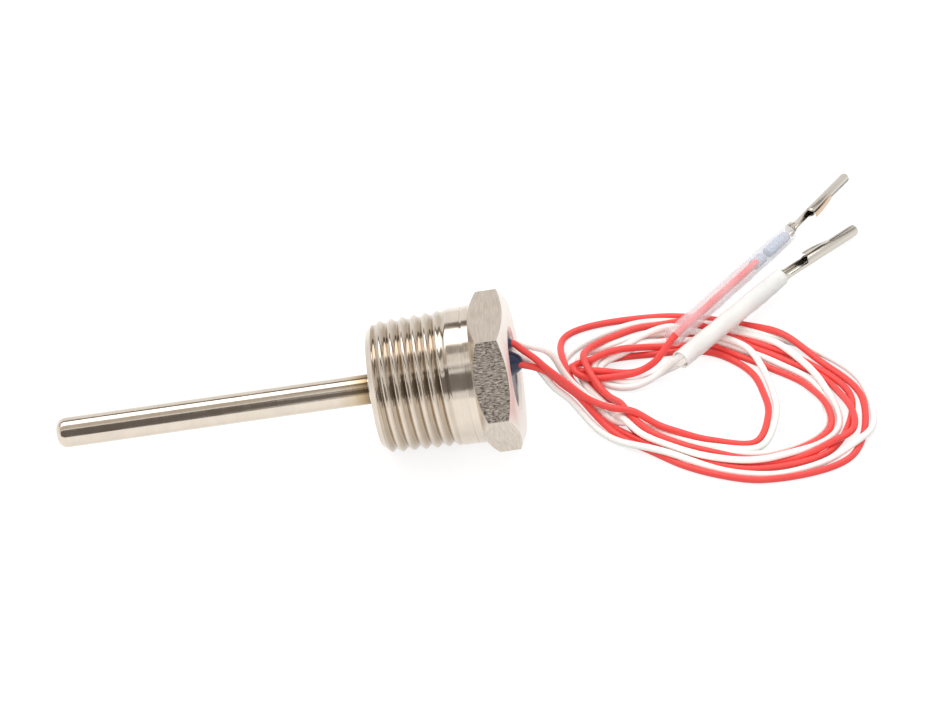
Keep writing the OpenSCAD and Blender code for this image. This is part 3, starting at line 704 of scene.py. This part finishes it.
class PROBE_OT_leads(bpy.types.Operator):
    """Lays the red and white leads in their loose coil"""

    bl_idname = "probe.leads"
    bl_label = "Leads"

    def execute(self, context):
        settings = context.scene.probe_settings
        lead_d = round(settings.lead_diameter / MM, 4)
        paths = [even_path(lead_knots(name, lead_d), STEP) for name in LEADS]
        held = []
        for name, path in zip(LEADS, paths):
            mouth = pair_point(name, -SLEEVE_LEN[LEADS[name][0]] + 0.5, lead_d)
            sleeved = np.argmin(np.linalg.norm(path - mouth, axis=1))
            point = np.arange(len(path))
            held.append((point < int(HELD_START / STEP)) | (point >= sleeved))
        insulation = {
            word: new_material(word + "_insulation", base_color=rgb(*colour), roughness=0.35)
            for word, colour in (("red", settings.red), ("white", settings.white))
        }
        for name, path in zip(LEADS, settle(paths, held, lead_d * 1.01)):
            colour, number = name.split("_")
            piece = put_tube(f"{colour}_lead_{number}", path, lead_d / 2, settings.lead_sides,
                             material=insulation[colour], slot=colour + "_lead")
            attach(piece, "root")
            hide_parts(f"{colour}_lead_exit_{number}", f"{colour}_lead_tail_{number}", "lead_coil")
        return {"FINISHED"}


# ---- sleeves and crimps

TINTS = ((1.0, 0.975, 0.995), (1.0, 0.985, 0.95))
HAZE = ((0.17, 0.4), (0.68, 0.78))  # how much each film hides, on its thin side and its thick one
THIN_SIDE = 2.25  # the angle of the thin side, in radians
CRIMPS = ((-10.2, -7.6, 0.95), (-6.4, -1.0, 0.9))  # each barrel's start, end and radius


def in_sleeve(k, stations, radius, a):
    """Points round sleeve k's axis: one row for each station, with its radius by station and angle."""
    y, z = radius * np.cos(a), radius * np.sin(a)
    return laid_down(k, SLEEVE_HEADING[k], SLEEVE_FALL, stations[:, None], y, z)


def sleeve_outside(k, x, a):
    """The film's outer radius: it swells and dips a little along its length as two sines, and
    draws in exponentially at the contact."""
    swell = 0.03 * np.sin(x[:, None] * 0.9 + 2 * a) + 0.02 * np.sin(x[:, None] * 2.3 + k)
    draw_in, over = 0.22, 1.4
    return SLEEVE_R + swell - draw_in * np.exp(x / over)[:, None]


def crimp_points(k, low, high, r, a):
    """A crimp barrel from low to high in sleeve k, with rounded rims and one flattened side."""
    rim, flat = 0.1, 0.18
    x = np.array([low, low, low + 0.15, high - 0.15, high, high])
    radius = np.array([0.02, r - rim, r, r, r - rim, 0.02])[:, None] * (1 - flat * np.maximum(0, np.sin(a)))
    return in_sleeve(k, x, radius, a).reshape(-1, 3)


class PROBE_OT_sleeves(bpy.types.Operator):
    """Shrinks the milky sleeves over the leads and rolls the crimps inside them"""

    bl_idname = "probe.sleeves"
    bl_label = "Sleeves"

    def execute(self, context):
        columns = 48
        a = even_angles(columns)
        for k, word in enumerate(ENDS):
            x = np.linspace(-SLEEVE_LEN[k], 0, 70)
            outer = sleeve_outside(k, x, a)
            rings = np.concatenate([x, x[::-1]])
            radius = np.concatenate([outer, outer[::-1] - SLEEVE_WALL])
            film = sleeve_material(word + "_film", TINTS[k])
            sleeve = put_grid(word + "_shrink_sleeve", in_sleeve(k, rings, radius, a), film,
                              2 * np.pi * SLEEVE_R, rings, wrap_rows=True, sharp=60, slot="clear_sleeve")
            thin, thick = HAZE[k]
            share, streaks = 0.5 - 0.5 * np.cos(a - THIN_SIDE), 0.03 * np.sin(rings[:, None] * 0.7 + a)
            put_values(sleeve, "haze", thin + (thick - thin) * share + streaks)
            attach(sleeve, "root")
            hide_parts(word + "_sleeve")

            crimps = [crimp_points(k, low, high, r, a) for low, high, r in CRIMPS]
            each = grid_faces(len(crimps[0]) // columns, columns)
            faces = np.concatenate([each, each + len(crimps[0])])
            grey = new_material(word + "_crimp_metal", base_color=rgb(0.44, 0.51, 0.62), roughness=0.5)
            barrels = put_mesh(word + "_crimps", np.concatenate(crimps), faces, grey, sharp=50, slot="nickel")
            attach(barrels, "root")
        return {"FINISHED"}


# ---- contacts

# Each contact's shell from the sleeve to its tip: distance, radius and the angle left open.
SHELLS = (
    [(0.3, 0.95, 150), (0.5, 1.22, 170), (1.3, 1.2, 180), (1.9, 0.85, 180), (2.5, 0.7, 190), (6.0, 0.72, 190),
     (6.3, 0.76, 60), (6.6, 0.78, 9), (17.1, 0.78, 9), (17.3, 0.68, 9)],
    [(0.1, 0.75, 60), (0.3, 0.98, 90), (0.9, 1.0, 120), (1.5, 0.92, 150), (5.4, 0.92, 150), (5.7, 0.93, 60),
     (6.0, 0.93, 9), (16.6, 0.93, 9), (16.9, 0.82, 9)],
)
BARREL_FROM = 6  # the number of the first station on the closed barrel
# The angle each shell's opening faces, and for its tang: the angle, the free end, the root and the rise.
OPEN_AT = (178, 92)
TANGS = ((184, 6.3, 11.6, 0.5), (68, 5.8, 11.2, 0.45))
SHEET, TANG_W = 0.2, 0.85


def in_contact(k, x, y, z):
    """Points of contact k's own frame, where x runs to its tip."""
    return laid_down(k, CONTACT_HEADING[k], CONTACT_FALL, x, y, z)


def rolled_shell(k):
    """Sheet rolled into an open tube: each station is an arc of the outside and one of the
    inside, and both ends close at the middle of the sheet."""
    half = 28
    x, r, opening = np.array(SHELLS[k]).T[:, :, None]
    x, opening, middle = [np.concatenate([c[:1], c, c[-1:]]) for c in (x, opening, r - SHEET / 2)]
    outside, inside = middle.copy(), middle.copy()
    outside[1:-1], inside[1:-1] = r, r - SHEET
    t = np.radians(OPEN_AT[k] + opening / 2 + (360 - opening) * np.linspace(0, 1, half))
    angle = np.concatenate([t, t[:, ::-1]], 1)
    radius = np.repeat(np.concatenate([outside, inside], 1), half, axis=1)
    points = in_contact(k, x, radius * np.cos(angle), radius * np.sin(angle))
    return points.reshape(-1, 3), grid_faces(len(x), 2 * half)


def sprung_tang(k):
    """The tang: a strip of the sheet that leaves the barrel at its root and bows out to its free
    end as the square of the distance."""
    facing, free, root, rise = TANGS[k]
    rows = 12
    c, n = math.cos(math.radians(facing)), math.sin(math.radians(facing))
    u = np.linspace(0, 1, rows)[:, None]
    across, lift = np.array([(-0.5, 0), (0.5, 0), (0.5, SHEET), (-0.5, SHEET)]).T
    across = across * TANG_W
    height = max(r for _, r, _ in SHELLS[k][BARREL_FROM:]) - SHEET + rise * (1 - (1 - u) ** 2) + lift
    points = in_contact(k, root + (free - root) * u, height * c - across * n, height * n + across * c)
    last = np.arange(4) + 4 * (rows - 1)
    return points.reshape(-1, 3), np.concatenate([grid_faces(rows, 4), [[3, 2, 1, 0], last]])


class PROBE_OT_contacts(bpy.types.Operator):
    """Rolls the two crimp contacts from sheet, each with its open channel and its sprung tang"""

    bl_idname = "probe.contacts"
    bl_label = "Crimp contacts"

    def execute(self, context):
        nickel = metal("contact_nickel", (0.60, 0.56, 0.50), 0.2)
        # The upper contact's tang is painted a warm brass, a painted reflection on its nickel.
        brass_reflection = metal("tang_painted_reflection", (0.66, 0.50, 0.37), 0.3)
        for k, word in enumerate(ENDS):
            shell, shell_faces = rolled_shell(k)
            tang, tang_faces = sprung_tang(k)
            faces = np.concatenate([shell_faces, tang_faces + len(shell)])
            piece = put_mesh(word + "_socket", np.concatenate([shell, tang]), faces, nickel,
                             sharp=40, slot="nickel")
            # Only the upper contact's tang takes the painted brass reflection; the lower one's stays nickel.
            put_slots(piece, np.repeat([0, 1], [len(shell_faces), len(tang_faces)]), (brass_reflection, nickel)[k])
            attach(piece, "root")
            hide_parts(word + "_contact")
        return {"FINISHED"}


# ---- inner pieces


class PROBE_OT_inner(bpy.types.Operator):
    """Gives the hidden inner pieces and the bared cores their metals, ceramics and films"""

    bl_idname = "probe.inner"
    bl_label = "Inner pieces"

    def execute(self, context):
        nickel = metal("inner_nickel", (0.66, 0.62, 0.53), 0.22)
        copper = metal("tinned_copper", (0.72, 0.55, 0.42), 0.35)
        ceramic = new_material("ceramic", base_color=rgb(0.78, 0.76, 0.70), roughness=0.6)
        powder = new_material("fill_powder", base_color=rgb(0.82, 0.81, 0.78), roughness=0.9)
        film = new_material("splice_film", base_color=rgb(0.80, 0.80, 0.78), roughness=0.4)
        looks = {
            nickel: ("element_wires", "extension_wires", "junction_beads", "splice_barrels"),
            copper: ("lead_cores", "upper_crimped_cores", "lower_crimped_cores"),
            ceramic: ("sensing_element", "bore_insulator"),
            powder: ("powder_fill",),
            film: ("splice_sleeves",),
        }
        for material, names in looks.items():
            for name in names:
                for holder in bpy.data.objects[name].material_slots:
                    holder.material = material
        return {"FINISHED"}


# ---- stage

AIM = (0.03, 0.0, 0.01)  # the point on the probe that the lamps and the strips stand round
WIDE = 1.6  # how far a strip reaches to both sides, where nothing else is said
# Strips that only shiny surfaces see: the lowest and highest height angle, the distance, the colour
# and the ends along X.
STRIPS = {
    "strip_behind": (39, 52, 0.9, (0.20, 0.17, 0.15), -WIDE, WIDE),
    "strip_above": (88, 103, 0.9, (0.16, 0.14, 0.13), -0.128, WIDE),
    "strip_line": (126, 128.5, 0.85, (0.2, 0.18, 0.16), -0.12, WIDE),
    "strip_left": (123, 179.5, 0.25, (0.17, 0.155, 0.145), -0.5, -0.023),
    "strip_left_above": (86, 116, 0.25, (0.62, 0.57, 0.51), -0.5, -0.023),
    "strip_camera": (136, 167, 0.9, (0.24, 0.215, 0.20), -WIDE, WIDE),
}
# The softbox hangs behind and above, and a dim fill stands by the camera: height angle, distance,
# width along X, height, power and whether shiny surfaces see the lamp.
LAMPS = {"key": (70, 0.8, 1.4, 0.42, 3.0, True), "fill": (150, 1.2, 1.0, 1.0, 4.0, False)}
FLOOR_R = 3000.0
# The camera's own right, the way back to it, how far its aim lies to the right of the hexagon's
# middle and above it in millimetres, its lens and its distance in metres.
VIEW_RIGHT, VIEW_BACK = Vector((0.9915, -0.0071, -0.1303)), Vector((0.0764, -0.7778, 0.6239))
AIM_RIGHT, AIM_UP = -5.12, 2.53
LENS, SENSOR, CAMERA_FAR = 620.7, 36, 2.5


def toward(angle, distance):
    """A place at that height angle in the plane across the probe, from +Y over +Z."""
    t = math.radians(angle)
    return (AIM[0], math.cos(t) * distance, math.sin(t) * distance + AIM[2])


def put_lamp(name, angle, distance, width, height, power, shiny):
    """A rectangular lamp that faces the probe, with its width along X."""
    data = bpy.data.lights.new(name, "AREA")
    data.shape = "RECTANGLE"
    data.size, data.size_y, data.energy = width, height, power
    lamp, place = bpy.data.objects.new(name, data), Vector(toward(angle, distance))
    lamp.location = place
    lamp.rotation_mode = "QUATERNION"
    lamp.rotation_quaternion = (Vector(AIM) - place).to_track_quat("-Z", "Y")
    lamp.visible_glossy = shiny
    bpy.context.scene.collection.objects.link(lamp)


def put_strip(name, low, high, distance, colour, left, right):
    """A long glowing card across the height angles from low to high, seen only in reflections."""
    bottom, top = toward(low, distance)[1:], toward(high, distance)[1:]
    corners = np.array([(left, *bottom), (right, *bottom), (right, *top), (left, *top)])
    card = bpy.data.materials.new(name)
    tree = empty_tree(card)
    add_node(tree, "OutputMaterial", Surface=add_node(tree, "Emission", Color=rgb(*colour)).outputs[0])
    strip = put_mesh(name, corners / MM, [[0, 1, 2, 3]], card)
    for ray in ("camera", "diffuse", "shadow", "transmission"):
        setattr(strip, "visible_" + ray, False)


def by_ray(tree, others, seen, output):
    """Links one shader to the output for rays from the camera, from shine and through clear films,
    and another for all the rest."""
    path = add_node(tree, "LightPath").outputs
    direct = add_math(tree, "MAXIMUM", path["Is Camera Ray"], path["Is Glossy Ray"])
    mix = add_node(tree, "MixShader", Fac=add_math(tree, "MAXIMUM", direct, path["Is Transmission Ray"]))
    tree.links.new(others.outputs[0], mix.inputs[1])
    tree.links.new(seen.outputs[0], mix.inputs[2])
    add_node(tree, output, Surface=mix.outputs[0])


def white_world():
    """A world that is white where it is seen and a little darker as a light."""
    world = bpy.data.worlds.new("studio")
    tree = empty_tree(world)
    light = add_node(tree, "Background", Color=rgb(0.86, 0.86, 0.86))
    by_ray(tree, light, add_node(tree, "Background", Color=rgb(1, 1, 1)), "OutputWorld")
    return world


def floor_material():
    """A matt floor that glows up to white where it is seen, and keeps the object's shadow."""
    m = bpy.data.materials.new("pale_floor")
    tree = empty_tree(m)
    matte = add_node(tree, "BsdfDiffuse", Color=rgb(0.35, 0.35, 0.35))
    glow = add_node(tree, "Emission", Strength=0.75)
    both = add_node(tree, "AddShader")
    for shader, socket in zip((matte, glow), both.inputs):
        tree.links.new(shader.outputs[0], socket)
    by_ray(tree, matte, both, "OutputMaterial")
    return m


def put_camera(scene):
    """A long lens that looks down on the hexagon from the front."""
    back = VIEW_BACK.normalized()
    up = back.cross(VIEW_RIGHT).normalized()
    right = up.cross(back).normalized()
    data = bpy.data.cameras.new("camera")
    data.lens, data.sensor_width = LENS, SENSOR
    data.clip_start, data.clip_end = 0.05, 20
    camera = bpy.data.objects.new("camera", data)
    scene.collection.objects.link(camera)
    hexagon = Vector(on_table((HEX_X + REAR_X) / 2)) * MM
    target = hexagon + right * (AIM_RIGHT * MM) + up * (AIM_UP * MM)
    turn = Matrix((right, up, back)).transposed().to_4x4()
    camera.matrix_world = Matrix.Translation(target + back * CAMERA_FAR) @ turn
    scene.camera = camera


class PROBE_OT_stage(bpy.types.Operator):
    """Sets up the camera, the lamps and the pale floor"""

    bl_idname = "probe.stage"
    bl_label = "Stage"

    def execute(self, context):
        scene = context.scene
        scene.view_settings.view_transform = "Standard"
        put_camera(scene)
        scene.world = white_world()
        corners = FLOOR_R * np.array([(-1, -1, 0), (1, -1, 0), (1, 1, 0), (-1, 1, 0)])
        put_mesh("floor", corners, [[0, 1, 2, 3]], floor_material())
        for name, values in STRIPS.items():
            put_strip(name, *values)
        for name, values in LAMPS.items():
            put_lamp(name, *values)
        return {"FINISHED"}


# ---- the add-on


class ProbeSettings(bpy.types.PropertyGroup):
    """Sizes and colours that a user would change."""

    lead_diameter: FloatProperty(
        name="Lead diameter", description="Outside diameter of each lead", default=LEAD_D * MM, unit="LENGTH")
    lead_sides: IntProperty(
        name="Lead sides", description="Sides of each lead's section", default=14, min=6, max=32)
    red: FloatVectorProperty(
        name="Red", description="Colour of the red leads", default=(0.88, 0.07, 0.06), subtype="COLOR")
    white: FloatVectorProperty(
        name="White", description="Colour of the white leads", default=(0.985, 0.965, 0.92), subtype="COLOR")
    thread_pitch: FloatProperty(
        name="Thread pitch", description="Distance between crests", default=1.814 * MM, unit="LENGTH")
    thread_depth: FloatProperty(
        name="Thread depth", description="Height of a crest over the root", default=0.55 * MM, unit="LENGTH")
    potting: FloatVectorProperty(
        name="Potting", description="Colour of the potting", default=(0.013, 0.022, 0.062), subtype="COLOR")
    steel: FloatVectorProperty(
        name="Steel", description="Colour of the bright steel", default=(0.70, 0.62, 0.53), subtype="COLOR")


class PROBE_PT_panel(bpy.types.Panel):
    """Lists the probe's pieces"""

    bl_label = "Probe"
    bl_idname = "PROBE_PT_panel"
    bl_space_type = "VIEW_3D"
    bl_region_type = "UI"
    bl_category = "Probe"

    def draw(self, context):
        for key in ProbeSettings.__annotations__:
            self.layout.prop(context.scene.probe_settings, key)
        for operator in OPERATORS:
            self.layout.operator(operator.bl_idname)


# In the order that they are called.
OPERATORS = (PROBE_OT_stage, PROBE_OT_fitting, PROBE_OT_sheath, PROBE_OT_potting, PROBE_OT_contacts,
             PROBE_OT_leads, PROBE_OT_sleeves, PROBE_OT_inner)
CLASSES = (ProbeSettings, *OPERATORS, PROBE_PT_panel)


def register():
    """Makes the settings, the operators and the panel known."""
    for cls in CLASSES:
        bpy.utils.register_class(cls)
    bpy.types.Scene.probe_settings = PointerProperty(type=ProbeSettings)


def unregister():
    """Takes them away again."""
    del bpy.types.Scene.probe_settings
    for cls in reversed(CLASSES):
        bpy.utils.unregister_class(cls)


def main():
    """Builds every piece in order."""
    register()
    for operator in OPERATORS:
        group, name = operator.bl_idname.split(".")
        getattr(getattr(bpy.ops, group), name)()


if __name__ == "__main__":
    main()
